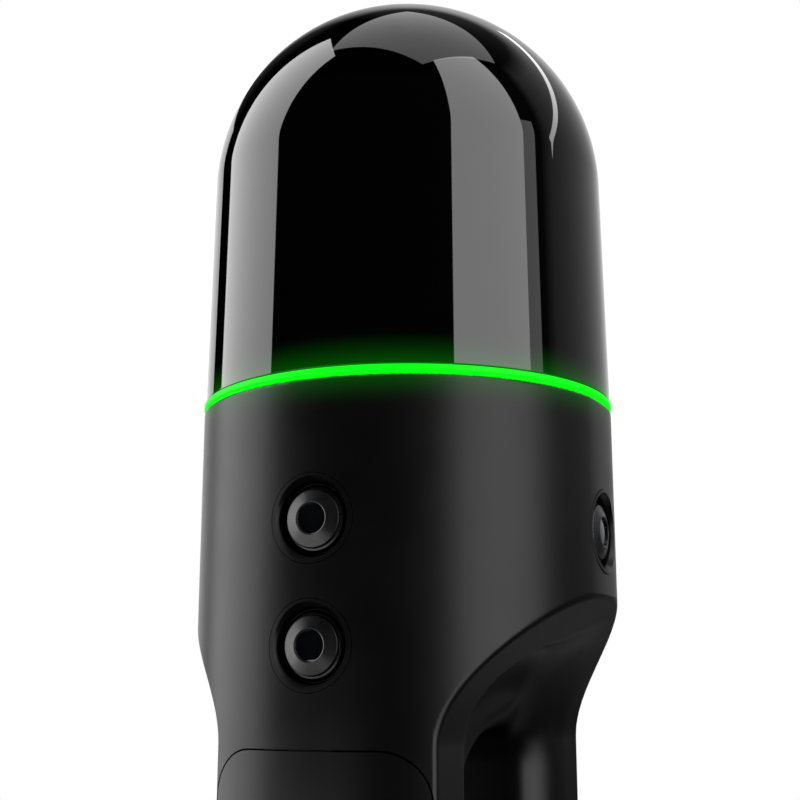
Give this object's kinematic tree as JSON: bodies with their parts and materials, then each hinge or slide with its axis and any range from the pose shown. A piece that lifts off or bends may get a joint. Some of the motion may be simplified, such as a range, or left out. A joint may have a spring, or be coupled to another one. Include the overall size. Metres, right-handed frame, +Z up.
{
  "type": "handheld laser scanner",
  "caption": "Handheld imaging laser scanner: black cylinder with a two-column grip, glossy dome over a spinning scan head, green light ring and round cameras.",
  "frame": {"origin": "centre of the underside of the rubber foot ring, on the surface the scanner stands on", "axes": "+Z up along the body's axis; -Y is the front, where the two stacked cameras look; +X is to the right when looking at the front"},
  "size_m": [0.0802, 0.0802, 0.279],
  "materials": {
    "anodised_housing": "satin black anodised aluminium",
    "foot_rubber": "matt moulded rubber",
    "seal_rubber": "matt",
    "fastener_steel": "satin",
    "dome_gloss": "high gloss black, infrared transparent",
    "light_guide": "frosted light guide, lit green",
    "circuit_board": "solder mask",
    "machined_aluminium": "turned and bead blasted",
    "bearing_steel": "ground",
    "motor_black": "black, satin",
    "winding_copper": "copper",
    "black_plastic": "fine texture",
    "button_plastic": "satin",
    "battery_case": "fine texture",
    "ribbon_film": "polyimide film",
    "port_steel": "drawn steel",
    "lens_glass": "coated glass",
    "scan_mirror_coating": "gold-coated mirror"
  },
  "bodies": {
    "housing": {"main_housing": "anodised_housing", "base_cap": "anodised_housing", "foot_ring": "foot_rubber", "base_screw_1": "fastener_steel", "base_screw_2": "fastener_steel", "base_screw_3": "fastener_steel", "base_screw_4": "fastener_steel", "dome": "dome_gloss", "dome_collar": "machined_aluminium", "dome_seal": "seal_rubber", "light_ring": "light_guide", "led_board": "circuit_board", "deck_plate": "machined_aluminium", "deck_screw_1": "fastener_steel", "deck_screw_2": "fastener_steel", "deck_screw_3": "fastener_steel", "bearing_outer_race": "bearing_steel", "motor_stator": "winding_copper", "encoder_reader": "black_plastic", "slip_ring_stator": "black_plastic", "main_board": "circuit_board", "heat_spreader": "machined_aluminium", "power_board": "circuit_board", "imu_module": "machined_aluminium", "board_ribbon": "ribbon_film", "front_upper_bezel": "anodised_housing", "front_upper_barrel": "motor_black", "front_upper_glass": "lens_glass", "front_upper_sensor": "circuit_board", "front_lower_bezel": "anodised_housing", "front_lower_barrel": "motor_black", "front_lower_glass": "lens_glass", "front_lower_sensor": "circuit_board", "right_bezel": "anodised_housing", "right_barrel": "motor_black", "right_glass": "lens_glass", "right_sensor": "circuit_board", "left_bezel": "anodised_housing", "left_barrel": "motor_black", "left_glass": "lens_glass", "left_sensor": "circuit_board", "button_seal": "seal_rubber", "button_switch": "black_plastic", "battery_pack": "battery_case", "battery_contacts": "winding_copper", "usb_port": "port_steel", "door_seal": "seal_rubber", "hinge_pin": "bearing_steel"},
    "turret": {"turret_yoke": "machined_aluminium", "bearing_inner_race": "bearing_steel", "motor_rotor": "motor_black", "encoder_disc": "bearing_steel", "laser_module": "motor_black", "mirror_motor": "motor_black"},
    "scan_mirror_rotor": {"mirror_hub": "machined_aluminium", "scan_mirror": "scan_mirror_coating"},
    "power_button": {"power_button": "button_plastic"},
    "battery_door": {"battery_door": "anodised_housing"},
    "door_latch": {"door_latch": "black_plastic"},
    "battery_catch": {"battery_catch": "black_plastic"}
  },
  "joints": [
    {"name": "turret_spin", "type": "hinge", "parent": "housing", "child": "turret", "pos_m": [0, 0, 0.19], "axis": [0, 0, 1], "continuous": true},
    {"name": "mirror_spin", "type": "hinge", "parent": "turret", "child": "scan_mirror_rotor", "pos_m": [0, 0, 0.236], "axis": [1, 0, 0], "continuous": true},
    {"name": "button_press", "type": "slide", "parent": "housing", "child": "power_button", "axis": [0, -1, 0], "range_m": [0, 0.0008], "stiffness_N_per_m": 2500, "springref_m": -0.0004},
    {"name": "door_hinge", "type": "hinge", "parent": "housing", "child": "battery_door", "pos_m": [0, -0.0379, 0.0174], "axis": [1, 0, 0], "range_deg": [0, 90]},
    {"name": "latch_slide", "type": "slide", "parent": "battery_door", "child": "door_latch", "axis": [0, 0, -1], "range_m": [0, 0.0036], "stiffness_N_per_m": 600, "springref_m": -0.0015},
    {"name": "catch_slide", "type": "slide", "parent": "housing", "child": "battery_catch", "axis": [0, 0, 1], "range_m": [0, 0.0045], "stiffness_N_per_m": 300, "springref_m": -0.0015}
  ]
}
